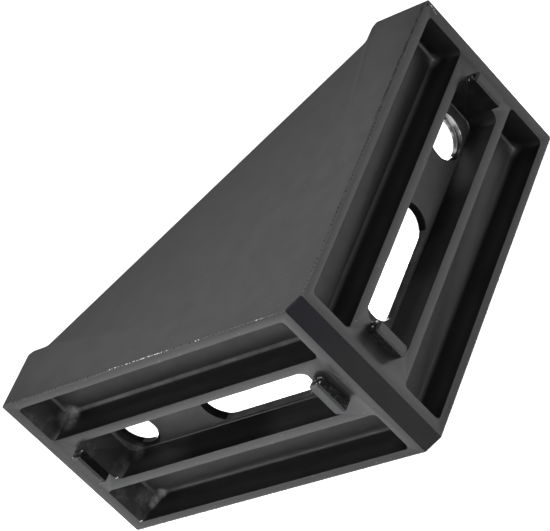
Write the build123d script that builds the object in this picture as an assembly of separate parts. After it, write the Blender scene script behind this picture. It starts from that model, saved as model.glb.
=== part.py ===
from build123d import *
import os
from math import radians, sqrt, tan

# Corner bracket for slotted framing, cast in one piece. It lies on the side of one gusset.
# The origin is on the line where the two mounting planes would meet, halfway across the bracket.
# One leg runs along +X with its mounting face on y = 0, the other along +Y with its face on x = 0.

# Side outline
leg_length = 80.0            # from the corner of the mounting planes to the end of each leg
bracket_width = 40.0         # across the mounting faces, the width of the profile it bolts to
toe_height = 14.0            # height of a leg's end above its mounting plane
toe_flat = 6.0               # level stretch on top of that end, before the slope of the gusset
toe_radius = 2.5             # round between the end and that level stretch
slope_radius = 2.0           # hollow round between the level stretch and the slope
heel_chamfer = 2.8           # flat across the outer corner, measured along each leg
toe_corner_radius = 1.1      # upright corners of that end
edge_radius = 0.4            # small round on the outer edges of the casting

# Walls
plate_thickness = 7.4        # from a mounting plane to the leg's inner face
floor_thickness = 1.8        # left under the recesses
gusset_thickness = 3.0       # at its root, thinner towards the slope
gusset_draft = 0.8           # taper of the inner sides, degrees
inner_corner_radius = 5.0    # where the two legs' inner faces meet
inner_root_radius = 1.5      # where an inner face meets a gusset
corner_web = 2.0             # metal between the two legs' side pockets at their floors

# Recesses in each mounting face: a pocket along each side and a channel between them
rim_width = 2.0              # from the outer side to a pocket
rib_width = 2.1              # between a pocket and the channel
channel_width = 11.7
heel_wall = 5.1              # from the corner of the mounting planes to the pockets
toe_wall = 3.1               # from the end of the leg to the pockets
wall_draft = 11.0            # taper of the recess walls, degrees
x_leg_toe_draft = 11.0       # the same for the walls at the leg's end
y_leg_toe_draft = 26.0       # these lie flatter on the other leg
pocket_corner_radius = 1.0   # upright corners of a pocket
pocket_floor_radius = 1.0    # between its floor and walls
channel_corner_radius = 2.0
channel_floor_radius = 0.4

# Bolt openings along the middle of each leg
bolt_diameter = 8.0
bolt_clearance = 0.5         # on the diameter
hole_chamfer = 0.7           # round the mouth of the round hole
hole_from_toe = 16.5         # centre of the round hole to the end of the leg
slot_from_corner = 17.0      # corner of the mounting planes to the slot
web_between_openings = 14.7  # metal between the slot and the round hole

# Locating tabs that drop into the slot of the profile
profile_slot = 8.2           # opening of the profile's slot
tab_side_clearance = 0.1     # each side
tab_thickness = 2.6          # along the leg
tab_height = 2.3             # above the mounting face
tab_corner_radius = 0.5
tab_chamfer = 0.4            # round the top
heel_tab_from_corner = 7.8   # corner of the mounting planes to the near tab
toe_tab_from_toe = 5.3       # end of the leg to the far tab

# Sizes that follow
pocket_width = (bracket_width - 2 * rim_width - 2 * rib_width - channel_width) / 2
pocket_offset = bracket_width / 2 - rim_width - pocket_width / 2
recess_depth = plate_thickness - floor_thickness
draft_inset = recess_depth * tan(radians(wall_draft))
pocket_floor_start = recess_depth + corner_web / sqrt(2)
opening_width = bolt_diameter + bolt_clearance
hole_centre = leg_length - hole_from_toe
slot_end = hole_centre - opening_width / 2 - web_between_openings
slot_length = slot_end - slot_from_corner
tab_width = profile_slot - 2 * tab_side_clearance
channel_start = heel_tab_from_corner + tab_thickness
channel_end = leg_length - toe_tab_from_toe - tab_thickness
hollow_width = bracket_width - 2 * gusset_thickness
beyond = leg_length / 4      # how far cutters run on into free space

# The mounting face of the leg along X: local x runs along the leg, local z into the metal
mounting_face = Plane(origin=(0, 0, 0), x_dir=(1, 0, 0), z_dir=(0, 1, 0))
diagonal = Vector(1, 1, 0).normalized()


def rounded_outline():
    """The bracket seen from the side, with the rounds of its toes."""
    slope_start = leg_length - toe_flat
    corners = {
        "heel": [(heel_chamfer, 0)],
        "toe_edge": [(leg_length, 0)],
        "toe_top": [(leg_length, toe_height)],
        "slope": [(slope_start, toe_height)],
    }
    one_leg = [point for group in corners.values() for point in group]
    other_leg = [(y, x) for x, y in reversed(one_leg)]
    outline = make_face(Polyline(*one_leg, *other_leg, close=True))
    radii = {"toe_edge": edge_radius, "toe_top": toe_radius, "slope": slope_radius}
    for name, radius in radii.items():
        for x, y in corners[name]:
            for point in ((x, y), (y, x)):
                vertex = outline.vertices().sort_by_distance(point)[0]
                outline = fillet(vertex, radius)
    return outline


def plan_outline():
    """The X leg seen square on to its mounting face, with the rounds of its upright corners."""
    reach = leg_length + beyond
    outline = Pos(leg_length - reach / 2, 0) * Rectangle(reach, bracket_width)
    ends = outline.vertices().sort_by(Axis.X)[-2:]
    return fillet(ends, toe_corner_radius)


def blank():
    """The outline at full width, its outer edges and upright corners rounded."""
    body = extrude(rounded_outline(), amount=bracket_width / 2, both=True)
    sides = body.faces().filter_by(Axis.Z)
    body = fillet(sides.edges(), edge_radius)
    x_leg_plan = mounting_face * extrude(plan_outline(), amount=leg_length + beyond)
    for plan in [x_leg_plan, *on_y_leg([x_leg_plan])]:
        body &= plan
    return body


def hollow():
    """The space between the gussets, which widens a little towards the slope."""
    reach = leg_length + beyond
    size = reach - plate_thickness
    block = Pos(plate_thickness, plate_thickness) * Box(
        size, size, bracket_width, align=(Align.MIN, Align.MIN, Align.CENTER)
    )
    run = size * sqrt(2)
    half = hollow_width / 2
    spread = run * tan(radians(gusset_draft))
    section = Polygon(
        (0, -half), (run, -half - spread), (run, half + spread), (0, half), align=None
    )
    inner_corner = Vector(plate_thickness, plate_thickness, 0)
    along_diagonal = Plane(
        origin=inner_corner, x_dir=diagonal, z_dir=diagonal.cross(Vector(0, 0, 1))
    )
    space = block & extrude(along_diagonal * section, amount=run, both=True)
    corner = space.edges().filter_by(Axis.Z).sort_by_distance(inner_corner)[0]
    space = fillet(corner, inner_corner_radius)
    roots = [
        edge
        for edge in space.edges()
        if min(edge.center().X, edge.center().Y) < plate_thickness + inner_corner_radius
        and abs(edge.center().Z) > half / 2
        and max(edge.center().X, edge.center().Y) < reach - plate_thickness
    ]
    return fillet(roots, inner_root_radius)


def recess(mouth, base, across, corner_radius, floor_radius):
    """Cutter for a drafted recess. mouth and base give its start and end along the leg and
    its width, at the mounting face and at the floor; across is its middle from the mid-plane."""
    (start, end, width), (base_start, base_end, base_width) = mouth, base
    lengthwise = Polygon(
        (start, 0), (end, 0), (base_end, recess_depth), (base_start, recess_depth), align=None
    )
    crosswise = Polygon(
        (-width / 2, 0),
        (width / 2, 0),
        (base_width / 2, recess_depth),
        (-base_width / 2, recess_depth),
        align=None,
    )
    cutter = extrude(Plane.XZ * lengthwise, amount=width, both=True)
    cutter &= extrude(Plane.YZ * crosswise, amount=leg_length)
    uprights = cutter.edges().filter_by(lambda edge: edge.bounding_box().size.Z > recess_depth / 2)
    cutter = fillet(uprights, corner_radius)
    floor = cutter.faces().sort_by(Axis.Z)[-1]
    return Pos(0, across) * fillet(floor.edges(), floor_radius)


def side_pocket(across, toe_inset):
    """Cutter for the pocket between a rim and a rib."""
    pocket_end = leg_length - toe_wall
    return recess(
        (heel_wall, pocket_end, pocket_width),
        (pocket_floor_start, pocket_end - toe_inset, pocket_width - 2 * draft_inset),
        across,
        pocket_corner_radius,
        pocket_floor_radius,
    )


def channel(toe_inset):
    """Cutter for the middle channel, which runs from tab to tab."""
    return recess(
        (channel_start, channel_end, channel_width),
        (channel_start + draft_inset, channel_end - toe_inset, channel_width - 2 * draft_inset),
        0,
        channel_corner_radius,
        channel_floor_radius,
    )


def bolt_openings():
    """Cutters for the slot and the chamfered round hole through the channel's floor."""
    slot = Pos(slot_from_corner + slot_length / 2, 0) * SlotOverall(slot_length, opening_width)
    hole = Pos(hole_centre, 0) * Circle(opening_width / 2)
    depth = plate_thickness + floor_thickness
    countersink = Pos(hole_centre, 0, recess_depth) * Cone(
        opening_width / 2 + hole_chamfer,
        opening_width / 2,
        hole_chamfer,
        align=(Align.CENTER, Align.CENTER, Align.MIN),
    )
    return [extrude(slot, amount=depth), extrude(hole, amount=depth), countersink]


def tab(start):
    """A locating tab whose near side is at start along the leg."""
    foot = Pos(start + tab_thickness / 2, 0) * RectangleRounded(
        tab_thickness, tab_width, tab_corner_radius
    )
    body = extrude(foot, amount=-tab_height)
    top = body.faces().sort_by(Axis.Z)[0]
    return chamfer(top.edges(), tab_chamfer)


def leg_cutters(toe_draft):
    """All that is cut from one leg, laid along X. toe_draft tapers its recesses' far walls."""
    toe_inset = recess_depth * tan(radians(toe_draft))
    pockets = [side_pocket(side * pocket_offset, toe_inset) for side in (-1, 1)]
    cutters = [channel(toe_inset), *bolt_openings(), *pockets]
    return [mounting_face * cutter for cutter in cutters]


def leg_tabs():
    """Both tabs of one leg, laid along X."""
    return [mounting_face * tab(start) for start in (heel_tab_from_corner, channel_end)]


def on_y_leg(shapes):
    """The shapes of a leg along X, turned over onto the leg along Y."""
    between_legs = Plane(origin=(0, 0, 0), z_dir=(1, -1, 0))
    return [mirror(shape, about=between_legs) for shape in shapes]


def corner_bracket():
    """The whole casting."""
    casting = blank() - hollow()
    for cutter in leg_cutters(x_leg_toe_draft) + on_y_leg(leg_cutters(y_leg_toe_draft)):
        casting -= cutter
    for raised in leg_tabs() + on_y_leg(leg_tabs()):
        casting += raised
    return casting


os.makedirs("parts", exist_ok=True)
bracket = corner_bracket()
bracket.label = "corner_bracket"
export_step(bracket, "parts/corner_bracket.step")
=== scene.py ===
"""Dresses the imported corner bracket: softened casting, coating, casting line, nicks, lights and camera."""

from __future__ import annotations

import logging
import math
from dataclasses import dataclass, field
from enum import Enum, IntEnum

import bmesh
import bpy
from mathutils import Matrix, Vector

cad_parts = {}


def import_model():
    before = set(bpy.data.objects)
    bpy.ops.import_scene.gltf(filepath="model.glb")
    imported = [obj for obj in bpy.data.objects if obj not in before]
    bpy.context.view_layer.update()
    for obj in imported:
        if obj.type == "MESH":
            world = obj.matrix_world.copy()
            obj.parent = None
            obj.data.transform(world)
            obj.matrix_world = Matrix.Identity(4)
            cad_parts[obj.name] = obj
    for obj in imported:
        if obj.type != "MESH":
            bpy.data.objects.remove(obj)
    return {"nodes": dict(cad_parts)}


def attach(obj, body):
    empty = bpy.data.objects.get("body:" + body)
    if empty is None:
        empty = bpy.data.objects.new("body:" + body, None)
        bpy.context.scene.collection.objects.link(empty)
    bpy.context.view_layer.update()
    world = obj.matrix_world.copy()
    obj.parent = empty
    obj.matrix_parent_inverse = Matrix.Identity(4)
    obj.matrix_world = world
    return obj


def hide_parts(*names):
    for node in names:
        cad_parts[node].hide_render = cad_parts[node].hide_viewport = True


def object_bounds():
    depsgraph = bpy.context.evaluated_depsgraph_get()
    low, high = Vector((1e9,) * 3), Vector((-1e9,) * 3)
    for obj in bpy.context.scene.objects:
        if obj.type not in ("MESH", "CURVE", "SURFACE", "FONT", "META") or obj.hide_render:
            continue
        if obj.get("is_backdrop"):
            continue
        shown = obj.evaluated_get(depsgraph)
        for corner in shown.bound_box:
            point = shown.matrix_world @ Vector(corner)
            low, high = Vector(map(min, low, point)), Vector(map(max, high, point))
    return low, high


LOG = logging.getLogger("corner_bracket")
MM = 0.001
BODY = "root"
NODE = "corner_bracket"

Colour = tuple[float, float, float]
Point = tuple[float, float, float]
Span = tuple[float, float]
Socket = bpy.types.NodeSocket
Inputs = dict[str | int, object]


class Leg(Enum):
    """The two legs of the bracket, each with its mounting face outwards."""

    ALONG_X = "x_leg"
    ALONG_Y = "y_leg"

    def place(self, along: float, depth: float, across: float) -> Vector:
        """Turns a place on the leg into a place in the frame.

        Args:
            along: Distance from the corner of the mounting planes, in mm.
            depth: Distance from the mounting plane into the metal, in mm.
            across: Distance from the mid-plane, in mm.

        Returns:
            The place in metres.
        """
        if self is Leg.ALONG_X:
            return Vector((along, depth, across)) * MM
        return Vector((depth, along, across)) * MM


class Finish(Enum):
    """Material slots of the casting, in their order on the mesh."""

    COATING = 0
    HEEL_FLAT = 1
    BARE_RING = 2
    RECESS_FLOOR = 3
    ROUGH_END = 4
    OPENING_WALL = 5
    TAB_SIDE = 6
    TAB_END = 7
    SLOT_WALL_PAINTED_LIGHT = 8
    EDGE_ROUND_PAINTED_SHEEN = 9
    FLOOR_ROUND_PAINTED_HIGHLIGHT = 10
    INNER_FACE = 11
    TAB_TOP = 12
    TOE_TAB_SIDE = 13
    RECESS_WALL = 14
    X_CHANNEL_WALL = 15
    BARE_BORE = 16
    Y_CHANNEL_WALL = 17
    X_ROUGH_END_PAINTED_SHADE = 18


@dataclass(frozen=True)
class Pattern:
    """A noise pattern, its scale in cells per metre, with the two values between which it fades in."""

    scale: float
    detail: float = 2.0
    low: float = 0.0
    high: float = 1.0
    stretch: Point = (1.0, 1.0, 1.0)


# A pattern and its height in mm
Bump = tuple[Pattern, float]


@dataclass(frozen=True)
class PaintedCornerHighlight:
    """A pale, grainy highlight painted into a corner at the toe end of a recess, with its sizes in mm."""

    leg: Leg
    along: float
    across: float
    strength: float
    reach: float
    depth: float = 5.6

    def place(self) -> Vector:
        """Returns the corner in metres."""
        return self.leg.place(self.along, self.depth, self.across)


# Pale grainy patches painted into the toe corners of the recesses stand in for highlights
PAINTED_HIGHLIGHT_COLOUR: Colour = (0.70, 0.70, 0.70)
PAINTED_HIGHLIGHT_GRAIN = Pattern(1400.0, 3.0, 0.36, 0.62)
PAINTED_HIGHLIGHT_GRAIN_SHARE: Span = (0.45, 1.0)
# Leg, place along it and across it, strength, reach and depth
PAINTED_CORNER_HIGHLIGHTS = (
    PaintedCornerHighlight(Leg.ALONG_Y, 72.3, 9.1, 0.70, 2.1, 5.4),
    PaintedCornerHighlight(Leg.ALONG_Y, 72.9, 8.8, 0.42, 3.3, 4.5),
    PaintedCornerHighlight(Leg.ALONG_Y, 71.6, -16.9, 0.45, 1.5, 5.3),
    PaintedCornerHighlight(Leg.ALONG_Y, 72.4, -16.9, 0.90, 1.5, 5.3),
    PaintedCornerHighlight(Leg.ALONG_Y, 73.6, -17.2, 0.95, 1.5, 4.3),
    PaintedCornerHighlight(Leg.ALONG_Y, 74.2, -17.4, 0.60, 1.4, 3.3),
    PaintedCornerHighlight(Leg.ALONG_Y, 75.2, -15.6, 0.12, 3.2, 3.8),
    PaintedCornerHighlight(Leg.ALONG_Y, 67.0, -4.9, 0.25, 2.4, 5.0),
    PaintedCornerHighlight(Leg.ALONG_X, 75.0, 9.4, 0.11, 2.2),
    PaintedCornerHighlight(Leg.ALONG_X, 75.0, -16.4, 0.09, 2.2),
)


class NodeLayout:
    """Adds nodes to one tree and links them."""

    def __init__(self, tree: bpy.types.NodeTree) -> None:
        """Takes the tree to add to."""
        self.tree = tree

    def link(self, source: Socket | float | tuple[float, ...] | Vector, target: Socket) -> None:
        """Links a socket to another, or sets a plain value on it.

        Args:
            source: A socket or a value.
            target: The socket that takes it.
        """
        if isinstance(source, bpy.types.NodeSocket):
            self.tree.links.new(source, target)
        else:
            target.default_value = source

    def add(self, kind: str, inputs: Inputs | None = None, **settings: object) -> bpy.types.Node:
        """Adds a node.

        Args:
            kind: Type name of the node.
            inputs: Sockets or values for its inputs, by their names or numbers.
            **settings: Properties to set on it.

        Returns:
            The new node.
        """
        node = self.tree.nodes.new(kind)
        for name, value in settings.items():
            setattr(node, name, value)
        for name, value in (inputs or {}).items():
            self.link(value, node.inputs[name])
        return node

    def math(self, operation: str, first: Socket | float, second: Socket | float) -> Socket:
        """Adds a Math node.

        Args:
            operation: Name of the operation.
            first: Its first value, a socket or a number.
            second: Its second value, likewise.

        Returns:
            The result.
        """
        return self.add("ShaderNodeMath", {0: first, 1: second}, operation=operation).outputs[0]


class Shader(NodeLayout):
    """Builds one node material around a Principled shader."""

    NOISE_ROUGHNESS = 0.55
    SPECKLED: Span = (0.90, 0.96)    # draws from which a cell has a speck, faint and full
    SPECK_CORE = 0.4                 # share of a speck's radius that is solid
    EDGE_SAMPLES = 6
    EDGE_TURN: Span = (0.995, 0.90)  # cosines of the turn at which an edge begins and is full
    MIX_COLOURS = (6, 7)             # numbers of a Mix node's colour inputs
    MIX_RESULT = 2                   # and of its colour output

    def __init__(self, name: str) -> None:
        """Starts an empty material.

        Args:
            name: Name of the material.
        """
        self.material = bpy.data.materials.new(name)
        self.material.use_nodes = True
        super().__init__(self.material.node_tree)
        self.tree.nodes.clear()
        self.surface = self.add("ShaderNodeBsdfPrincipled")
        self.add("ShaderNodeOutputMaterial", {"Surface": self.surface.outputs["BSDF"]})
        self.place = self.add("ShaderNodeTexCoord").outputs["Object"]

    def give(self, name: str, value: Socket | float) -> None:
        """Gives the surface one of its inputs.

        Args:
            name: Name of the input.
            value: What varies over the surface, or a number that is the same all over it.
        """
        self.link(value, self.surface.inputs[name])

    def axes(self) -> bpy.types.NodeOutputs:
        """Returns the three object coordinates."""
        return self.add("ShaderNodeSeparateXYZ", {"Vector": self.place}).outputs

    def noise(self, pattern: Pattern) -> Socket:
        """Adds a noise texture on object coordinates.

        Args:
            pattern: The pattern to add.

        Returns:
            The noise's factor, from 0 to 1.
        """
        mapping = self.add("ShaderNodeMapping", {"Vector": self.place, "Scale": pattern.stretch})
        sizes = {"Scale": pattern.scale, "Detail": pattern.detail, "Roughness": self.NOISE_ROUGHNESS}
        return self.add("ShaderNodeTexNoise", {"Vector": mapping.outputs["Vector"], **sizes}).outputs["Fac"]

    def fade(self, pattern: Pattern, to: Span = (0.0, 1.0)) -> Socket:
        """Adds a noise texture that fades in smoothly.

        Args:
            pattern: The pattern to add.
            to: The range that it is mapped onto.

        Returns:
            The mapped pattern.
        """
        return self.ramp(self.noise(pattern), pattern.low, pattern.high, to)

    def specks(self, scale: float, size: float) -> Socket:
        """Adds small round specks scattered at random.

        Args:
            scale: Cells per metre.
            size: Radius of a speck as a share of a cell.

        Returns:
            A mask that is 1 on the specks.
        """
        cells = self.add("ShaderNodeTexVoronoi", {"Scale": scale, "Vector": self.place}, feature="F1")
        chosen = self.add("ShaderNodeSeparateColor", {"Color": cells.outputs["Color"]})
        few = self.ramp(chosen.outputs["Red"], *self.SPECKLED)
        near = self.ramp(cells.outputs["Distance"], size, size * self.SPECK_CORE)
        return self.math("MULTIPLY", few, near)

    def ramp(self, value: Socket, low: float, high: float, to: Span = (0.0, 1.0)) -> Socket:
        """Maps a value smoothly onto a range.

        Args:
            value: The socket to map.
            low: Value that gives the first end of the range.
            high: Value that gives its other end.
            to: The range.

        Returns:
            The mapped value.
        """
        inputs = {"Value": value, "From Min": low, "From Max": high, "To Min": to[0], "To Max": to[1]}
        return self.add("ShaderNodeMapRange", inputs, interpolation_type="SMOOTHSTEP").outputs["Result"]

    def between(self, distance: Socket, ends: Span, to: Span = (0.0, 1.0)) -> Socket:
        """Maps a distance smoothly onto a range.

        Args:
            distance: The distance in metres.
            ends: Distances in mm that give the ends of the range.
            to: The range.

        Returns:
            The mapped value.
        """
        return self.ramp(distance, ends[0] * MM, ends[1] * MM, to)

    def mix(self, factor: Socket, first: Colour | Socket, second: Colour | Socket) -> Socket:
        """Mixes two colours.

        Args:
            factor: Share of the second colour.
            first: A colour or a socket.
            second: A colour or a socket.

        Returns:
            The mixed colour.
        """
        node = self.add("ShaderNodeMix", {"Factor": factor}, data_type="RGBA")
        for number, colour in zip(self.MIX_COLOURS, (first, second)):
            value = colour if isinstance(colour, bpy.types.NodeSocket) else (*colour, 1.0)
            self.link(value, node.inputs[number])
        return node.outputs[self.MIX_RESULT]

    def edges(self, radius: float) -> Socket:
        """Finds the sharp edges of the mesh.

        Args:
            radius: Reach of the search in mm.

        Returns:
            A mask that rises towards 1 at an edge.
        """
        rounded = self.add("ShaderNodeBevel", {"Radius": radius * MM}, samples=self.EDGE_SAMPLES)
        normals = {0: rounded.outputs["Normal"], 1: self.add("ShaderNodeNewGeometry").outputs["Normal"]}
        turned = self.add("ShaderNodeVectorMath", normals, operation="DOT_PRODUCT")
        return self.ramp(turned.outputs["Value"], *self.EDGE_TURN)

    def with_painted_corner_highlights(self, colour: Socket) -> Socket:
        """Paints pale, grainy highlights into the toe corners of the recesses.

        Args:
            colour: The colour elsewhere.

        Returns:
            The colour with its painted corner highlights.
        """
        grain = self.fade(PAINTED_HIGHLIGHT_GRAIN, PAINTED_HIGHLIGHT_GRAIN_SHARE)
        for corner in PAINTED_CORNER_HIGHLIGHTS:
            ends = {0: self.place, 1: corner.place()}
            away = self.add("ShaderNodeVectorMath", ends, operation="DISTANCE").outputs["Value"]
            share = self.between(away, (corner.reach, 0.0), (0.0, corner.strength))
            colour = self.mix(self.math("MULTIPLY", share, grain), colour, PAINTED_HIGHLIGHT_COLOUR)
        return colour

    def relief(self, *layers: tuple[Pattern | Socket, float]) -> None:
        """Gives the surface a bump.

        Args:
            *layers: Patterns, or sockets from 0 to 1, each with its height in mm.
        """
        below = None
        for layer, height in layers:
            relief = self.noise(layer) if isinstance(layer, Pattern) else layer
            bump = self.add("ShaderNodeBump", {"Distance": height * MM, "Height": relief})
            if below is not None:
                self.link(below, bump.inputs["Normal"])
            below = bump.outputs["Normal"]
        self.give("Normal", below)


@dataclass(frozen=True)
class LineBlots:
    """The blots of the casting line beside the near edge of the leg along X, with their place in mm."""

    wander: Pattern = Pattern(420.0, 3.0)
    wander_width: float = 0.50
    patches: Pattern = Pattern(700.0, 2.0, 0.34, 0.60)
    patch_share: Span = (0.25, 0.95)
    along: Span = (38.0, 54.0)
    inner_side: Span = (1.16, 0.96)
    outer_side: Span = (0.50, 0.62)
    across: Span = (19.4, 19.7)

    def mask(self, shader: Shader) -> Socket:
        """Finds the blots.

        Args:
            shader: The shader to add to.

        Returns:
            A mask that is 1 on the blots.
        """
        axes = shader.axes()
        wander = shader.math("MULTIPLY", shader.noise(self.wander), self.wander_width * MM)
        depth = shader.math("ADD", axes["Y"], wander)
        blots = shader.fade(self.patches, self.patch_share)
        for distance, ends in (
            (axes["X"], self.along),
            (depth, self.inner_side),
            (depth, self.outer_side),
            (axes["Z"], self.across),
        ):
            blots = shader.math("MULTIPLY", blots, shader.between(distance, ends))
        return blots


@dataclass(frozen=True)
class Coating:
    """Satin black paint on the casting, with its fine grain, tints, specks and rubbed edges, and pale
    highlights painted into the recess corners.

    The edges are rubbed over a reach in mm. Specks have a scale in cells per metre and a size in cells.
    """

    name: str = "satin_black_coating"
    cool: Colour = (0.0062, 0.0062, 0.0070)
    warm: Colour = (0.0080, 0.0072, 0.0070)
    tints: Pattern = Pattern(70.0, 3.0, 0.35, 0.68)
    rubbed: Colour = (0.030, 0.030, 0.0305)
    rubs: Pattern = Pattern(420.0, 4.0, 0.42, 0.75)
    rub_share: Span = (0.01, 0.08)
    wear: Pattern = Pattern(900.0, 2.0, 0.40, 0.62)
    wear_reach: float = 0.35
    speck: Colour = (0.10, 0.10, 0.10)
    speck_scale: float = 900.0
    speck_size: float = 0.16
    blot: Colour = (0.0040, 0.0040, 0.0042)
    blots: LineBlots = LineBlots()
    blot_shine: float = 0.10
    cool_shine: Colour = (0.960, 0.965, 1.0)
    warm_shine: Colour = (1.0, 0.980, 0.975)
    shine_patches: Pattern = Pattern(45.0, 2.0, 0.42, 0.62)
    roughness: Span = (0.312, 0.346)
    unevenness: Pattern = Pattern(260.0, 3.0, 0.3, 0.7)
    bumps: tuple[Bump, ...] = ((Pattern(160.0), 0.0045), (Pattern(2600.0), 0.002))
    specular: float = 0.5
    # paints pale highlights into the recess corners
    paints_corner_highlights: bool = True

    def material(self) -> bpy.types.Material:
        """Makes the coating.

        Returns:
            Its node material.
        """
        shader = Shader(self.name)
        colour = shader.mix(shader.fade(self.tints), self.cool, self.warm)
        colour = shader.mix(shader.fade(self.rubs, self.rub_share), colour, self.rubbed)
        worn = shader.math("MULTIPLY", shader.edges(self.wear_reach), shader.fade(self.wear))
        colour = shader.mix(worn, colour, self.rubbed)
        colour = shader.mix(shader.specks(self.speck_scale, self.speck_size), colour, self.speck)
        blots = self.blots.mask(shader)
        colour = shader.mix(blots, colour, self.blot)
        # pale highlights painted into the recess corners
        if self.paints_corner_highlights:
            colour = shader.with_painted_corner_highlights(colour)
        shader.give("Base Color", colour)
        shader.give("Roughness", shader.fade(self.unevenness, self.roughness))
        shader.give("Specular IOR Level", shader.ramp(blots, 0.0, 1.0, (self.specular, self.blot_shine)))
        shine = shader.mix(shader.fade(self.shine_patches), self.cool_shine, self.warm_shine)
        shader.give("Specular Tint", shine)
        shader.relief(*self.bumps)
        return shader.material


@dataclass(frozen=True)
class RoughCoating:
    """The same paint where the casting under it is rougher, as in the recesses.

    Its grain is in cells per metre, and the grain's height in mm.
    """

    name: str
    cool: Colour = (0.0070, 0.0070, 0.0082)
    warm: Colour = (0.0090, 0.0084, 0.0084)
    roughness: Span = (0.40, 0.48)
    specular: float = 0.5
    grain: float = 900.0
    grain_height: float = 0.004
    grain_detail: float = 3.0
    grain_stretch: Point = (1.0, 1.0, 1.0)
    fleck: Colour = (0.03, 0.03, 0.03)
    flecked_from: float = 0.80
    fleck_fade: float = 0.12
    tints: Pattern = Pattern(150.0, 3.0, 0.35, 0.65)
    unevenness: Pattern = Pattern(420.0, 3.0, 0.3, 0.7)
    cloud: Colour | None = None
    clouds: Pattern = Pattern(330.0, 4.0, 0.50, 0.74)
    cloud_share: Span = (0.0, 0.9)

    def material(self) -> bpy.types.Material:
        """Makes the rough coating.

        Returns:
            Its node material.
        """
        shader = Shader(self.name)
        shader.give("Roughness", shader.fade(self.unevenness, self.roughness))
        shader.give("Specular IOR Level", self.specular)
        grain = shader.noise(Pattern(self.grain, self.grain_detail, stretch=self.grain_stretch))
        flecks = shader.ramp(grain, self.flecked_from - self.fleck_fade, self.flecked_from)
        colour = shader.mix(flecks, shader.mix(shader.fade(self.tints), self.cool, self.warm), self.fleck)
        if self.cloud:
            colour = shader.mix(shader.fade(self.clouds, self.cloud_share), colour, self.cloud)
        # pale highlights painted into the recess corners
        shader.give("Base Color", shader.with_painted_corner_highlights(colour))
        shader.relief((grain, self.grain_height))
        return shader.material


@dataclass(frozen=True)
class WallCoatingWithPaintedLightAndShade:
    """The paint on the long wall of a recess, with painted shade that makes it darker and duller towards the
    mouth, and painted light and shade along a channel beside the openings.

    Depths and places along the leg are in mm.
    """

    name: str
    cool: Colour = (0.0070, 0.0070, 0.0080)
    warm: Colour = (0.0086, 0.0081, 0.0081)
    tints: Pattern = Pattern(110.0, 3.0, 0.35, 0.68)
    roughness: Span = (0.32, 0.40)
    unevenness: Pattern = Pattern(260.0, 3.0, 0.3, 0.7)
    bumps: tuple[Bump, ...] = ((Pattern(160.0), 0.005), (Pattern(1300.0, 3.0), 0.006))
    specular: float = 0.5
    # painted shade: shares of the colour and shine at the mouth and deep in the wall, and the depths between
    painted_mouth_share: float = 0.34
    painted_deep_share: float = 1.25
    painted_shade_depths: Span = (0.5, 3.4)
    # painted light and shade along a channel beside the slot and the hole
    paints_light_beside_openings: bool = False
    painted_shade_beside_slot: Span = (34.0, 26.0)
    painted_slot_share: Span = (0.52, 1.10)
    painted_light_beside_hole: tuple[tuple[Span, float], ...] = (((50.0, 57.0), 0.60), ((63.0, 67.0), -0.20))

    def painted_light_along_channel(self, shader: Shader, axes: bpy.types.NodeOutputs) -> Socket:
        """Paints light and shade along the channel wall: darker beside the web between the slot and the
        round hole, lighter beside the hole.

        Args:
            shader: The shader to add to.
            axes: The three object coordinates.

        Returns:
            A factor for the wall's tone.
        """
        along = shader.math("MAXIMUM", axes["X"], axes["Y"])
        factor = shader.between(along, self.painted_shade_beside_slot, self.painted_slot_share)
        for ends, rise in self.painted_light_beside_hole:
            factor = shader.math("ADD", factor, shader.between(along, ends, (0.0, rise)))
        return factor

    def material(self) -> bpy.types.Material:
        """Makes the wall's finish.

        Returns:
            Its node material.
        """
        shader = Shader(self.name)
        axes = shader.axes()
        depth = shader.math("MINIMUM", axes["X"], axes["Y"])
        # painted shade: colour and shine scaled down towards the mouth
        share = shader.between(depth, self.painted_shade_depths, (self.painted_mouth_share, self.painted_deep_share))
        # painted light and shade along the channel beside the openings
        if self.paints_light_beside_openings:
            share = shader.math("MULTIPLY", share, self.painted_light_along_channel(shader, axes))
        tint = shader.mix(shader.fade(self.tints), self.cool, self.warm)
        scaled = shader.add("ShaderNodeVectorMath", {0: tint, "Scale": share}, operation="SCALE")
        # pale highlights painted into the recess corners
        shader.give("Base Color", shader.with_painted_corner_highlights(scaled.outputs["Vector"]))
        shader.give("Specular IOR Level", shader.math("MULTIPLY", share, self.specular))
        shader.give("Roughness", shader.fade(self.unevenness, self.roughness))
        shader.relief(*self.bumps)
        return shader.material


@dataclass(frozen=True)
class MattFlat:
    """The rough flat across the heel, duller than the rest, and bluer towards the near side."""

    name: str = "heel_flat_coating"
    cool: Colour = (0.0126, 0.0121, 0.0164)
    warm: Colour = (0.0174, 0.0173, 0.0176)
    cool_across: Span = (0.0, 15.0)
    patches: Pattern = Pattern(110.0, 3.0, 0.35, 0.65)
    patch_share: Span = (0.8, 1.0)
    roughness: Span = (0.55, 0.68)
    unevenness: Pattern = Pattern(300.0, 3.0, 0.3, 0.7)
    bump: Bump = (Pattern(1800.0, 3.0), 0.008)
    specular: float = 0.12

    def material(self) -> bpy.types.Material:
        """Makes the flat's finish.

        Returns:
            Its node material.
        """
        shader = Shader(self.name)
        patches = shader.fade(self.patches, self.patch_share)
        coolness = shader.math("MULTIPLY", patches, shader.between(shader.axes()["Z"], self.cool_across))
        shader.give("Base Color", shader.mix(coolness, self.warm, self.cool))
        shader.give("Roughness", shader.fade(self.unevenness, self.roughness))
        shader.give("Specular IOR Level", self.specular)
        shader.relief(self.bump)
        return shader.material


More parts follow.
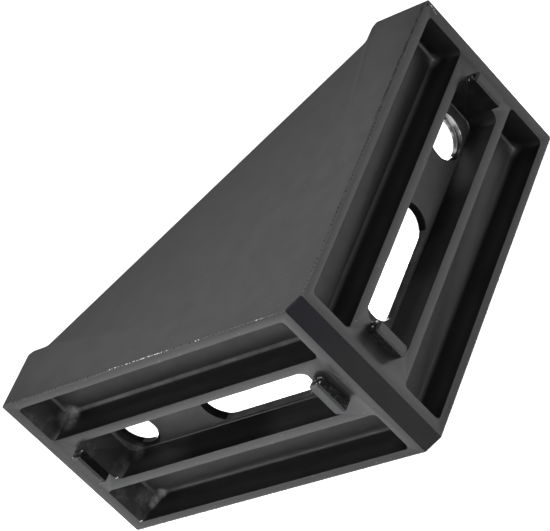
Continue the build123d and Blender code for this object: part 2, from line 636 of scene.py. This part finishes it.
@dataclass(frozen=True)
class BareMetal:
    """Bright metal where the coating is cut away, with turning marks."""

    name: str = "bare_casting_metal"
    bright: Colour = (0.82, 0.82, 0.84)
    dull: Colour = (0.42, 0.41, 0.41)
    marks: Pattern = Pattern(700.0, 4.0, 0.38, 0.60, (0.15, 4.0, 0.15))
    mark_depth: float = 0.006
    roughness: Span = (0.18, 0.38)
    rough_marks: Span = (0.3, 0.7)
    metallic: float = 1.0

    def material(self) -> bpy.types.Material:
        """Makes the metal.

        Returns:
            Its node material.
        """
        shader = Shader(self.name)
        marks = shader.noise(self.marks)
        shine = shader.ramp(marks, self.marks.low, self.marks.high)
        shader.give("Base Color", shader.mix(shine, self.dull, self.bright))
        shader.give("Roughness", shader.ramp(marks, *self.rough_marks, self.roughness))
        shader.give("Metallic", self.metallic)
        shader.relief((marks, self.mark_depth))
        return shader.material


@dataclass(frozen=True)
class MarkFinish:
    """The dull finish of small marks on an edge, in two tones."""

    name: str
    first: Colour
    second: Colour
    patches: Pattern
    roughness: float
    bump: Bump
    specular: float = 0.5

    def material(self) -> bpy.types.Material:
        """Makes the marks' finish.

        Returns:
            Its node material.
        """
        shader = Shader(self.name)
        shader.give("Base Color", shader.mix(shader.fade(self.patches), self.first, self.second))
        shader.give("Roughness", self.roughness)
        shader.give("Specular IOR Level", self.specular)
        shader.relief(self.bump)
        return shader.material


CASTING_PITS = MarkFinish(
    "casting_line_pits",
    first=(0.004, 0.004, 0.0045),
    second=(0.011, 0.011, 0.012),
    patches=Pattern(1500.0, 2.0, 0.4, 0.6),
    roughness=0.8,
    bump=(Pattern(3000.0), 0.01),
    specular=0.1,
)
# Bright metal beads: real chips along the leg along Y, painted glints at the recess mouths and the toe of
# the leg along X
CHIPS_AND_PAINTED_GLINTS = MarkFinish(
    "chipped_metal_and_painted_glints",
    first=(0.45, 0.45, 0.46),
    second=(0.92, 0.92, 0.93),
    patches=Pattern(1300.0, 2.0, 0.62, 0.45),
    roughness=0.35,
    bump=(Pattern(2500.0), 0.006),
)
CastingFinish = Coating | RoughCoating | WallCoatingWithPaintedLightAndShade | MattFlat | BareMetal


def casting_finishes() -> dict[Finish, CastingFinish]:
    """Names the finish of every slot of the casting.

    Returns:
        The finishes by slot.
    """
    rough_end = {"roughness": (0.5, 0.65), "grain": 1100.0, "grain_height": 0.03}
    stretched = {"grain": 900.0, "grain_stretch": (3.0, 3.0, 1.5)}
    return {
        Finish.COATING: Coating(),
        Finish.HEEL_FLAT: MattFlat(),
        Finish.BARE_RING: BareMetal(dull=(0.16, 0.16, 0.16), bright=(0.46, 0.46, 0.47)),
        Finish.BARE_BORE: BareMetal(
            "bare_bore_metal", bright=(0.85, 0.85, 0.86), dull=(0.40, 0.40, 0.40), metallic=0.45
        ),
        # The gussets' edge rounds get a much lighter coat that paints their grey sheen
        Finish.EDGE_ROUND_PAINTED_SHEEN: Coating(
            "edge_round_painted_sheen",
            cool=(0.036, 0.036, 0.038),
            warm=(0.046, 0.045, 0.045),
            roughness=(0.40, 0.50),
        ),
        Finish.INNER_FACE: Coating("inner_face_coating", paints_corner_highlights=False),
        Finish.TAB_TOP: Coating("tab_top_coating", specular=0.38),
        Finish.RECESS_WALL: WallCoatingWithPaintedLightAndShade("recess_wall_painted_shade"),
        # The channel walls of the two legs differ only in their painted light and shade
        Finish.X_CHANNEL_WALL: WallCoatingWithPaintedLightAndShade(
            "x_channel_wall_painted_light_and_shade", painted_mouth_share=1.05, painted_deep_share=1.45, paints_light_beside_openings=True
        ),
        Finish.Y_CHANNEL_WALL: WallCoatingWithPaintedLightAndShade("y_channel_wall_painted_light_and_shade", paints_light_beside_openings=True),
        Finish.RECESS_FLOOR: RoughCoating("recess_floor_coating"),
        # A pale coat on the rounds at the foot of the far walls paints the highlight line along them
        Finish.FLOOR_ROUND_PAINTED_HIGHLIGHT: RoughCoating(
            "floor_round_painted_highlight",
            cool=(0.05, 0.05, 0.051),
            warm=(0.11, 0.11, 0.11),
            roughness=(0.45, 0.6),
            grain=1300.0,
            grain_height=0.03,
        ),
        Finish.ROUGH_END: RoughCoating(
            "recess_end_coating",
            cool=(0.0076, 0.0076, 0.0086),
            warm=(0.0098, 0.0093, 0.0093),
            specular=0.20,
            cloud=(0.034, 0.034, 0.035),
            **rough_end,
        ),
        # A darker copy of the recess-end coating paints shade on the end walls of the leg along X
        Finish.X_ROUGH_END_PAINTED_SHADE: RoughCoating(
            "x_recess_end_painted_shade",
            cool=(0.0050, 0.0050, 0.0058),
            warm=(0.0068, 0.0065, 0.0065),
            specular=0.14,
            cloud=(0.012, 0.012, 0.012),
            **rough_end,
        ),
        Finish.OPENING_WALL: RoughCoating(
            "opening_wall_coating",
            cool=(0.014, 0.014, 0.015),
            warm=(0.022, 0.022, 0.022),
            roughness=(0.6, 0.7),
            specular=0.0,
        ),
        # The slots' straight walls get a mid-grey coat that paints the light they reflect
        Finish.SLOT_WALL_PAINTED_LIGHT: RoughCoating(
            "slot_wall_painted_light",
            cool=(0.09, 0.09, 0.095),
            warm=(0.145, 0.145, 0.145),
            roughness=(0.5, 0.65),
            specular=0.1,
            grain=1600.0,
            grain_height=0.03,
        ),
        Finish.TAB_SIDE: RoughCoating(
            "tab_side_coating",
            cool=(0.0035, 0.0035, 0.0040),
            warm=(0.0050, 0.0048, 0.0048),
            roughness=(0.35, 0.5),
            specular=0.25,
            grain_height=0.06,
            fleck=(0.06, 0.06, 0.06),
            flecked_from=0.64,
            **stretched,
        ),
        Finish.TOE_TAB_SIDE: RoughCoating(
            "toe_tab_side_coating",
            cool=(0.0025, 0.0025, 0.0030),
            warm=(0.0050, 0.0048, 0.0048),
            roughness=(0.5, 0.65),
            specular=0.07,
            grain_height=0.05,
            flecked_from=0.70,
            **stretched,
        ),
        # Bright flecks on the tabs' near ends paint glints
        Finish.TAB_END: RoughCoating(
            "tab_end_painted_glints",
            cool=(0.0030, 0.0030, 0.0035),
            warm=(0.0040, 0.0040, 0.0040),
            roughness=(0.22, 0.40),
            specular=0.3,
            grain=1500.0,
            grain_height=0.14,
            fleck=(0.32, 0.32, 0.32),
            flecked_from=0.67,
        ),
    }


def make_object(name: str, mesh: bpy.types.Mesh) -> bpy.types.Object:
    """Links a new object at the origin.

    Args:
        name: Name of the object.
        mesh: Its mesh.

    Returns:
        The object.
    """
    made = bpy.data.objects.new(name, mesh)
    bpy.context.scene.collection.objects.link(made)
    return made


def finish_piece(piece: bpy.types.Object, *nodes: str) -> None:
    """Rides a piece on the bracket.

    Args:
        piece: The finished piece.
        *nodes: CAD nodes that it stands for.
    """
    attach(piece, BODY)
    if nodes:
        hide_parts(*nodes)
    LOG.info("%s: %d faces", piece.name, len(piece.data.polygons))


@dataclass(frozen=True)
class FacePlace:
    """Where a face's middle is on its leg, in mm, and how far its normal points each way, from -1 to 1."""

    leg: Leg
    along: float
    depth: float
    across: float
    outward: float
    towards_heel: float
    sideways: float

    @classmethod
    def of(cls, face: bmesh.types.BMFace) -> FacePlace:
        """Places a face of the casting.

        Args:
            face: The face.

        Returns:
            Its place.
        """
        middle, normal = face.calc_center_median() / MM, face.normal
        if middle.x > middle.y:
            return cls(Leg.ALONG_X, middle.x, middle.y, middle.z, -normal.y, -normal.x, normal.z)
        return cls(Leg.ALONG_Y, middle.y, middle.x, middle.z, -normal.x, -normal.y, normal.z)


@dataclass
class Casting:
    """The cast body, taken from the CAD node, with its sharp edges broken and its faces smoothed.

    Lengths are in mm and angles in degrees. A value whose name ends in out, heel or side is a limit on how
    far a face's normal points outward, towards the heel or sideways.
    """

    merged_within: float = 0.002
    flat_within: float = 0.4
    edge_break: float = 0.14
    edge_segments: int = 2
    edge_profile: float = 0.5
    sharp_from: float = 40.0
    smooth_below: float = 32.0
    hole_centre: float = 63.5
    hole_radius: float = 4.25
    hole_chamfer: float = 0.7
    recess_depth: float = 5.6
    floor_round: float = 1.1
    plate_thickness: float = 7.4
    tab_height: float = 2.3
    tab_top_band: float = 0.3
    pockets_from: float = 7.9
    heel_chamfer: float = 2.8
    side_round: float = 0.45
    half_width: float = 20.0
    rim_from: float = 18.2
    margin: float = 0.1
    tab_side_from: float = 0.15
    end_wall_from: float = 0.15
    opening_margin: float = 0.02
    root_round: float = 0.6
    root_margin: float = 0.05
    flank_side: float = 0.97
    tab_end_out: float = 0.3
    tab_end_side: float = 0.4
    tab_side_heel: float = 0.8
    inner_face_out: float = -0.98
    root_out: float = 0.1
    root_heel: float = -0.1
    wall_side: float = 0.9
    end_wall_heel: float = 0.7
    end_round_heel: float = 0.2
    end_round_side: float = 0.3
    end_round_out: float = 0.5
    floor_out: float = 0.25
    floor_round_out: float = 0.97
    floor_round_side: float = 0.2
    finishes: dict[Finish, CastingFinish] = field(default_factory=casting_finishes)

    def build(self, node: bpy.types.Object, box: tuple[Point, Point]) -> bpy.types.Object:
        """Builds and dresses the casting.

        Args:
            node: The CAD node that it stands for.
            box: Lowest and highest corner of the CAD model in metres.

        Returns:
            The finished piece.
        """
        mesh = bpy.data.meshes.new("casting")
        body = bmesh.new()
        body.from_mesh(node.data)
        bmesh.ops.remove_doubles(body, verts=body.verts, dist=self.merged_within * MM)
        bmesh.ops.dissolve_limit(
            body,
            angle_limit=math.radians(self.flat_within),
            verts=body.verts,
            edges=body.edges,
            use_dissolve_boundaries=False,
        )
        self.break_edges(body)
        for vertex in body.verts:
            vertex.co = [min(max(place, low), high) for place, low, high in zip(vertex.co, *box)]
        for face in body.faces:
            face.material_index = self.finish_of(face).value
        self.mark_smooth(body)
        body.to_mesh(mesh)
        body.free()
        for kind in Finish:
            mesh.materials.append(self.finishes[kind].material())
        piece = make_object("casting", mesh)
        finish_piece(piece, NODE)
        return piece

    def break_edges(self, body: bmesh.types.BMesh) -> None:
        """Rounds the outward sharp edges a little.

        Args:
            body: The casting.
        """
        sharp = [edge for edge in body.edges if self.is_sharp(edge)]
        LOG.info("sharp edges: %d", len(sharp))
        bmesh.ops.bevel(
            body,
            geom=sharp,
            offset=self.edge_break * MM,
            offset_type="OFFSET",
            segments=self.edge_segments,
            profile=self.edge_profile,
            affect="EDGES",
            clamp_overlap=True,
        )
        open_edges = sum(1 for edge in body.edges if len(edge.link_faces) != 2)
        LOG.info("open edges after rounding: %d", open_edges)

    def is_sharp(self, edge: bmesh.types.BMEdge) -> bool:
        """Tells whether an edge is an outward corner that is rounded.

        Args:
            edge: An edge of the casting.

        Returns:
            Whether it is rounded. The tabs' edges aren't.
        """
        if len(edge.link_faces) != 2 or not edge.is_convex:
            return False
        if edge.calc_face_angle(0.0) < math.radians(self.sharp_from):
            return False
        middle = (edge.verts[0].co + edge.verts[1].co) / 2
        return min(middle.x, middle.y) > -self.margin * MM

    def finish_of(self, face: bmesh.types.BMFace) -> Finish:
        """Tells which finish a face has.

        Args:
            face: A face of the casting.

        Returns:
            Its finish.
        """
        spot = FacePlace.of(face)
        beside_edge = abs(spot.across) > self.half_width - self.side_round
        on_side_round = beside_edge and abs(spot.sideways) < self.flank_side
        heel_reach = self.heel_chamfer + (self.side_round + self.margin if on_side_round else self.margin)
        if spot.along + spot.depth < heel_reach and spot.depth > -self.margin:
            return Finish.HEEL_FLAT
        # painted sheen on the gussets' edge rounds
        if on_side_round and spot.depth < self.side_round:
            return Finish.EDGE_ROUND_PAINTED_SHEEN
        tab = self.tab_finish(spot)
        if tab:
            return tab
        if self.is_inner(spot):
            return Finish.INNER_FACE
        if abs(spot.across) > self.rim_from:
            return Finish.COATING
        if spot.depth > self.recess_depth + self.opening_margin:
            return self.opening_finish(spot)
        return self.recess_finish(spot)

    def tab_finish(self, spot: FacePlace) -> Finish | None:
        """Tells which finish a face of a tab has.

        Args:
            spot: Where the face is.

        Returns:
            Its finish, or None where it has the coating or isn't a tab's.
        """
        at_toe = spot.along > self.hole_centre
        faces_near = spot.outward < self.tab_end_out and spot.sideways > self.tab_end_side
        if spot.depth < -self.margin and faces_near:
            return Finish.TAB_END
        if spot.depth < -self.tab_side_from and spot.towards_heel > self.tab_side_heel:
            if not at_toe:
                return Finish.TAB_SIDE
            return Finish.X_ROUGH_END_PAINTED_SHADE if spot.leg is Leg.ALONG_X else Finish.TOE_TAB_SIDE
        if spot.depth < self.tab_top_band - self.tab_height and spot.leg is Leg.ALONG_Y and at_toe:
            return Finish.TAB_TOP
        return None

    def is_inner(self, spot: FacePlace) -> bool:
        """Tells whether a face is the inner side of a leg, or beyond it.

        Args:
            spot: Where the face is.

        Returns:
            Whether it is, the rounds at the gussets' roots included.
        """
        near_root = spot.depth > self.plate_thickness - self.root_round
        on_root = near_root and spot.outward < self.root_out and spot.towards_heel < self.root_heel
        beyond = spot.depth > self.plate_thickness + self.root_margin
        return spot.outward < self.inner_face_out or on_root or beyond

    def opening_finish(self, spot: FacePlace) -> Finish:
        """Tells which finish a face of a slot or a round hole has.

        Args:
            spot: Where the face is.

        Returns:
            Its finish.
        """
        from_hole = math.hypot(spot.along - self.hole_centre, spot.across)
        if from_hole < self.hole_radius + self.hole_chamfer and spot.leg is Leg.ALONG_X:
            in_bore = spot.depth > self.recess_depth + self.hole_chamfer
            return Finish.BARE_BORE if in_bore else Finish.BARE_RING
        # painted light on the slots' straight walls
        return Finish.SLOT_WALL_PAINTED_LIGHT if spot.sideways > self.wall_side else Finish.OPENING_WALL

    def recess_finish(self, spot: FacePlace) -> Finish:
        """Tells which finish a face of a pocket, a channel or a mounting face has.

        Args:
            spot: Where the face is.

        Returns:
            Its finish.
        """
        on_x_leg = spot.leg is Leg.ALONG_X
        on_end_wall = spot.towards_heel > self.end_wall_heel and spot.depth > self.end_wall_from
        on_end_round = spot.towards_heel > self.end_round_heel and spot.sideways > self.end_round_side
        on_end_round = on_end_round and spot.outward < self.end_round_out
        # the leg along X takes the darker copy with painted shade
        if spot.along > self.hole_centre and (on_end_wall or on_end_round):
            return Finish.X_ROUGH_END_PAINTED_SHADE if on_x_leg else Finish.ROUGH_END
        if spot.sideways > self.wall_side and spot.depth > self.margin:
            if abs(spot.across) > self.pockets_from:
                return Finish.RECESS_WALL
            return Finish.X_CHANNEL_WALL if on_x_leg else Finish.Y_CHANNEL_WALL
        if spot.outward > self.floor_out and spot.depth > self.recess_depth - self.floor_round:
            on_round = spot.outward < self.floor_round_out and spot.sideways > self.floor_round_side
            # these rounds on the leg along Y carry the painted highlight line
            near_round = on_round and spot.across > self.pockets_from and not on_x_leg
            return Finish.FLOOR_ROUND_PAINTED_HIGHLIGHT if near_round else Finish.RECESS_FLOOR
        return Finish.COATING

    def mark_smooth(self, body: bmesh.types.BMesh) -> None:
        """Shades the casting smooth, except across its corners.

        Args:
            body: The casting.
        """
        for face in body.faces:
            face.smooth = True
        for edge in body.edges:
            edge.smooth = edge.calc_face_angle(0.0) < math.radians(self.smooth_below)


@dataclass(frozen=True)
class Trail:
    """A straight run of small marks along or across a leg of the casting, with its places in mm."""

    leg: Leg
    start: float
    end: float
    across: float = 19.85
    depth: float = 0.15
    across_end: float | None = None

    def ends(self) -> tuple[Vector, Vector]:
        """Places the run.

        Returns:
            Its two ends in metres.
        """
        across_end = self.across if self.across_end is None else self.across_end
        return (
            self.leg.place(self.start, self.depth, self.across),
            self.leg.place(self.end, self.depth, across_end),
        )


class Draw(IntEnum):
    """The random draws for a mark, each with what it adds to the seed."""

    NUDGE = 11
    KEPT = 23
    DEPTH = 37
    WIDTH = 41
    LENGTH = 53


class MarkTree(NodeLayout):
    """Geometry Nodes that scatter small flattened beads along a path."""

    NAME = "marks_along_an_edge"
    SUBDIVISIONS = 2
    FLOAT_LIMITS = (2, 3)  # numbers of a Random Value node's inputs for its least and greatest float
    FLOAT_OUTPUT = 1       # and of its outputs
    BOOLEAN_OUTPUT = 3
    INPUTS = {
        "NodeSocketFloat": ("Spacing", "Length", "Thickness", "Unevenness", "Share Kept", "Scatter"),
        "NodeSocketInt": ("Seed",),
        "NodeSocketMaterial": ("Material",),
    }

    def __init__(self) -> None:
        """Builds the tree once."""
        super().__init__(bpy.data.node_groups.new(self.NAME, "GeometryNodeTree"))
        new = self.tree.interface.new_socket
        new(name="Geometry", in_out="INPUT", socket_type="NodeSocketGeometry")
        self.interface = {
            name: new(name=name, in_out="INPUT", socket_type=kind).identifier
            for kind, names in self.INPUTS.items()
            for name in names
        }
        new(name="Geometry", in_out="OUTPUT", socket_type="NodeSocketGeometry")
        self.given = self.add("NodeGroupInput").outputs
        self.connect()

    def random(self, kind: str, draw: Draw) -> bpy.types.Node:
        """Adds a Random Value node with its own seed.

        Args:
            kind: Data type of the values.
            draw: The draw that the values are for.

        Returns:
            The node.
        """
        seed = self.add("FunctionNodeIntegerMath", {0: self.given["Seed"], 1: draw.value}, operation="ADD")
        return self.add("FunctionNodeRandomValue", {"Seed": seed.outputs[0]}, data_type=kind)

    def connect(self) -> None:
        """Lays out the nodes from the path to the finished marks."""
        given = self.given
        spaced = {"Curve": given["Geometry"], "Length": given["Spacing"]}
        path = self.add("GeometryNodeResampleCurve", spaced, mode="LENGTH")
        points = self.add("GeometryNodeCurveToPoints", {"Curve": path.outputs["Curve"]}, mode="EVALUATED")
        nudge = self.random("FLOAT_VECTOR", Draw.NUDGE)
        self.link((-1.0, -1.0, -1.0), nudge.inputs["Min"])
        self.link((1.0, 1.0, 1.0), nudge.inputs["Max"])
        scatter = {0: nudge.outputs["Value"], "Scale": given["Scatter"]}
        amount = self.add("ShaderNodeVectorMath", scatter, operation="SCALE")
        moved = self.add(
            "GeometryNodeSetPosition",
            {"Geometry": points.outputs["Points"], "Offset": amount.outputs["Vector"]},
        )
        bead = self.add("GeometryNodeMeshIcoSphere", {"Radius": 1.0, "Subdivisions": self.SUBDIVISIONS})
        kept = self.random("BOOLEAN", Draw.KEPT)
        self.link(given["Share Kept"], kept.inputs["Probability"])
        placed = self.add(
            "GeometryNodeInstanceOnPoints",
            {
                "Points": moved.outputs["Geometry"],
                "Instance": bead.outputs["Mesh"],
                "Selection": kept.outputs[self.BOOLEAN_OUTPUT],
                "Rotation": points.outputs["Rotation"],
                "Scale": self.bead_size(),
            },
        )
        real = self.add("GeometryNodeRealizeInstances", {"Geometry": placed.outputs["Instances"]})
        dressed = self.add(
            "GeometryNodeSetMaterial", {"Geometry": real.outputs["Geometry"], "Material": given["Material"]}
        )
        self.add("NodeGroupOutput", {"Geometry": dressed.outputs["Geometry"]})

    def bead_size(self) -> Socket:
        """Works out each bead's uneven size.

        Returns:
            The size as a vector, its length along the path.
        """
        least = self.math("SUBTRACT", 1.0, self.given["Unevenness"])
        sizes = {}
        for axis, draw, base in (
            ("X", Draw.DEPTH, "Thickness"),
            ("Y", Draw.WIDTH, "Thickness"),
            ("Z", Draw.LENGTH, "Length"),
        ):
            share = self.random("FLOAT", draw)
            for number, limit in zip(self.FLOAT_LIMITS, (least, 1.0)):
                self.link(limit, share.inputs[number])
            sizes[axis] = self.math("MULTIPLY", share.outputs[self.FLOAT_OUTPUT], self.given[base])
        return self.add("ShaderNodeCombineXYZ", sizes).outputs["Vector"]


@dataclass(frozen=True)
class EdgeMarks:
    """One set of marks along edges, all of one kind, with their sizes in mm."""

    name: str
    trails: tuple[Trail, ...]
    finish: MarkFinish
    spacing: float
    length: float
    thickness: float
    unevenness: float
    share_kept: float
    scatter: float
    seed: int

    def build(self, tree: MarkTree) -> bpy.types.Object:
        """Scatters the marks and turns them into a plain mesh.

        Args:
            tree: The Geometry Nodes tree that scatters them.

        Returns:
            The finished piece.
        """
        curve = bpy.data.curves.new(self.name + "_path", "CURVE")
        curve.dimensions = "3D"
        for trail in self.trails:
            spline = curve.splines.new("POLY")
            spline.points.add(1)
            for point, place in zip(spline.points, trail.ends()):
                point.co = (*place, 1.0)
        carrier = bpy.data.objects.new(self.name + "_path", curve)
        bpy.context.scene.collection.objects.link(carrier)
        modifier = carrier.modifiers.new("marks", "NODES")
        modifier.node_group = tree.tree
        for name, value in {
            "Spacing": self.spacing * MM,
            "Length": self.length * MM,
            "Thickness": self.thickness * MM,
            "Unevenness": self.unevenness,
            "Share Kept": self.share_kept,
            "Scatter": self.scatter * MM,
            "Seed": self.seed,
            "Material": self.finish.material(),
        }.items():
            modifier[tree.interface[name]] = value
        view = bpy.context.evaluated_depsgraph_get()
        mesh = bpy.data.meshes.new_from_object(carrier.evaluated_get(view), depsgraph=view)
        mesh.name = self.name
        bpy.data.objects.remove(carrier)
        bpy.data.curves.remove(curve)
        piece = make_object(self.name, mesh)
        finish_piece(piece)
        return piece


@dataclass
class CastingLine:
    """The trimmed casting line along the edges of the gussets, with its pits and bright nicks, and bright
    beads that paint glints at the recess mouths and the toe of the leg along X, in mm.
    """

    from_heel: float = 3.4
    to_toe: float = 79.2
    to_blots: float = 50.0
    nicked: tuple[Span, ...] = ((33.0, 48.5), (24.3, 25.4), (8.3, 10.2))

    def sets(self) -> list[EdgeMarks]:
        """Lists the sets of marks.

        Returns:
            The sets in the order they are made.
        """
        near = (
            Trail(Leg.ALONG_X, self.from_heel, self.to_blots),
            Trail(Leg.ALONG_Y, self.from_heel, self.to_toe),
        )
        far = tuple(Trail(leg, self.from_heel, self.to_toe, across=-19.85) for leg in Leg)
        along_y = tuple(Trail(Leg.ALONG_Y, *ends, across=19.88, depth=0.20) for ends in self.nicked)
        # The bright beads at the recess mouths and at the toe of the leg along X are painted glints
        # Leg, start and end along it
        painted_mouth_glints = (
            Trail(Leg.ALONG_Y, 71.3, 71.7, across=-5.35, depth=0.06),
            Trail(Leg.ALONG_Y, 76.4, 76.8, across=-17.75, depth=0.06),
        )
        painted_toe_glints = (Trail(Leg.ALONG_X, 79.35, 78.7, across=18.95, across_end=16.8, depth=0.02),)
        toe_tip = (Trail(Leg.ALONG_X, 78.60, 78.65, across=19.45, depth=0.02),)
        # Name, trails, finish, spacing, length, thickness, unevenness, share kept, scatter and seed
        return [
            EdgeMarks("casting_line_near", near, CASTING_PITS, 1.02, 0.30, 0.13, 0.5, 0.82, 0.015, 5),
            EdgeMarks("casting_line_far", far, CASTING_PITS, 1.05, 0.30, 0.12, 0.5, 0.70, 0.02, 9),
            EdgeMarks("nicks_along_y_leg", along_y, CHIPS_AND_PAINTED_GLINTS, 0.34, 0.30, 0.11, 0.6, 0.85, 0.01, 14),
            EdgeMarks("painted_glints_at_recess_mouths", painted_mouth_glints, CHIPS_AND_PAINTED_GLINTS, 0.20, 0.16, 0.14, 0.4, 0.9, 0.03, 8),
            EdgeMarks("painted_glints_at_x_toe", painted_toe_glints, CHIPS_AND_PAINTED_GLINTS, 0.30, 0.20, 0.12, 0.6, 0.80, 0.04, 3),
            EdgeMarks("pit_at_x_toe", toe_tip, CASTING_PITS, 0.20, 0.26, 0.24, 0.2, 1.0, 0.02, 4),
        ]

    def build(self) -> list[bpy.types.Object]:
        """Builds every set of marks.

        Returns:
            The finished pieces.
        """
        tree = MarkTree()
        return [marks.build(tree) for marks in self.sets()]


@dataclass(frozen=True)
class SoftLamp:
    """A large lamp with a soft edge to its light, in metres, watts and degrees."""

    name: str
    place: Point
    aim: Point
    size: float
    power: float
    height: float | None = None
    spread: float = 180.0

    def build(self) -> bpy.types.Object:
        """Sets the lamp up.

        Returns:
            The lamp.
        """
        light = bpy.data.lights.new(self.name, "AREA")
        light.shape = "RECTANGLE"
        light.size = self.size
        light.size_y = self.height or self.size
        light.energy = self.power
        light.spread = math.radians(self.spread)
        lamp = bpy.data.objects.new(self.name, light)
        bpy.context.scene.collection.objects.link(lamp)
        towards = (Vector(self.aim) - Vector(self.place)).normalized()
        lamp.location = self.place
        lamp.rotation_euler = towards.to_track_quat("-Z", "Y").to_euler()
        lamp.visible_camera = False
        return lamp


@dataclass
class Studio:
    """The pale floor, its level in mm and half its width in metres, the soft lamps and the surroundings."""

    floor_level: float = -20.02
    floor_half: float = 3.0
    floor_colour: Colour = (0.86, 0.86, 0.86)
    floor_glow: float = 0.35
    backdrop_glow: float = 0.94
    surround: float = 0.06
    # Name, place, aim, size and power
    lamps: tuple[SoftLamp, ...] = (
        SoftLamp("lamp_above", (-0.005, 0.015, 0.36), (-0.005, 0.015, 0.0), 0.08, 0.037, spread=60.0),
        SoftLamp("lamp_above_left", (-0.07, 0.06, 0.30), (-0.07, 0.06, 0.0), 0.08, 0.122, spread=50.0),
        SoftLamp("lamp_above_right", (0.05, -0.075, 0.30), (0.05, -0.075, 0.0), 0.08, 0.065, spread=50.0),
        SoftLamp("lamp_left", (-0.42, 0.62, 0.42), (-0.03, 0.08, 0.0), 0.35, 2.0),
        SoftLamp("lamp_right", (0.62, -0.42, 0.42), (0.06, -0.02, 0.0), 0.35, 0.3),
        SoftLamp("lamp_behind", (0.60, 0.66, 0.54), (0.0, 0.0, 0.02), 0.40, 0.60),
        SoftLamp("lamp_front_left", (-0.43, -0.15, 0.26), (0.02, 0.05, 0.0), 0.16, 0.40),
        SoftLamp("lamp_in_front", (0.02, -0.65, 0.05), (0.04, 0.0, 0.0), 0.30, 2.3),
        SoftLamp(
            "lamp_behind_gussets",
            (0.0475, 0.0475, -0.0130),
            (0.02, 0.02, -0.0155),
            0.095,
            0.058,
            height=0.013,
            spread=130.0,
        ),
    )

    def build(self) -> None:
        """Sets up the floor, the lamps and the world."""
        self.build_floor()
        for lamp in self.lamps:
            lamp.build()
        self.build_world()

    def build_floor(self) -> None:
        """Lays the floor, white to the camera and in reflections, and still shaded under the part."""
        level, half = self.floor_level * MM, self.floor_half
        mesh = bpy.data.meshes.new("floor")
        corners = [(-half, -half, level), (half, -half, level), (half, half, level), (-half, half, level)]
        mesh.from_pydata(corners, [], [(0, 1, 2, 3)])
        floor = make_object("floor", mesh)
        material = bpy.data.materials.new("pale_floor")
        material.use_nodes = True
        layout = NodeLayout(material.node_tree)
        layout.tree.nodes.clear()
        matt = layout.add("ShaderNodeBsdfDiffuse", {"Color": (*self.floor_colour, 1.0)})
        glow = layout.add("ShaderNodeEmission", {"Strength": self.seen(layout)})
        both = layout.add("ShaderNodeAddShader", {0: matt.outputs[0], 1: glow.outputs[0]})
        layout.add("ShaderNodeOutputMaterial", {"Surface": both.outputs[0]})
        mesh.materials.append(material)
        floor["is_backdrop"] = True

    def seen(self, layout: NodeLayout) -> Socket:
        """Gives one glow to what the camera sees and one to what reflections and glass see.

        Args:
            layout: The floor's nodes.

        Returns:
            The glow's strength, which is nothing for the light on other things.
        """
        rays = layout.add("ShaderNodeLightPath").outputs
        total = layout.math("MULTIPLY", rays["Is Camera Ray"], self.backdrop_glow)
        for name in ("Is Glossy Ray", "Is Transmission Ray"):
            share = layout.math("MULTIPLY", rays[name], self.floor_glow)
            total = layout.math("MAXIMUM", total, share)
        return total

    def build_world(self) -> None:
        """Surrounds the part with even white light."""
        world = bpy.data.worlds.new("white_surround")
        bpy.context.scene.world = world
        world.use_nodes = True
        layout = NodeLayout(world.node_tree)
        rays = layout.add("ShaderNodeLightPath").outputs
        scaled = layout.add(
            "ShaderNodeMapRange", {"Value": rays["Is Camera Ray"], "To Min": self.surround, "To Max": 1.0}
        )
        background = world.node_tree.nodes["Background"]
        layout.link((1.0, 1.0, 1.0, 1.0), background.inputs["Color"])
        layout.link(scaled.outputs["Result"], background.inputs["Strength"])


@dataclass(frozen=True)
class PhotoCamera:
    """The photograph's viewpoint, solved from the corners of the part, with its place in mm."""

    place: Point = (-269.483, -297.077, 220.861)
    right: Point = (0.31807639, -0.70491885, -0.63396911)
    up: Point = (0.72588412, -0.24907018, 0.64113671)
    focal_pixels: float = 2613.947
    image_width: float = 550.0
    sensor: float = 36.0
    nearest: float = 0.01
    farthest: float = 20.0

    def build(self) -> bpy.types.Object:
        """Makes the camera the scene's own.

        Returns:
            The camera.
        """
        data = bpy.data.cameras.new("photo_camera")
        data.sensor_fit = "HORIZONTAL"
        data.sensor_width = self.sensor
        data.lens = self.focal_pixels * self.sensor / self.image_width
        data.clip_start = self.nearest
        data.clip_end = self.farthest
        camera = bpy.data.objects.new("photo_camera", data)
        bpy.context.scene.collection.objects.link(camera)
        right, up = Vector(self.right), Vector(self.up)
        turn = Matrix((right, up, right.cross(up))).transposed()
        camera.matrix_world = Matrix.Translation(Vector(self.place) * MM) @ turn.to_4x4()
        bpy.context.scene.camera = camera
        return camera


def main() -> None:
    """Builds the dressed bracket in its studio."""
    logging.basicConfig(level=logging.INFO, format="%(name)s: %(message)s")
    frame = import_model()
    cad_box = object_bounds()
    bpy.context.scene.view_settings.view_transform = "Standard"
    PhotoCamera().build()
    Casting().build(frame["nodes"][NODE], cad_box)
    CastingLine().build()
    Studio().build()


if __name__ == "__main__":
    main()
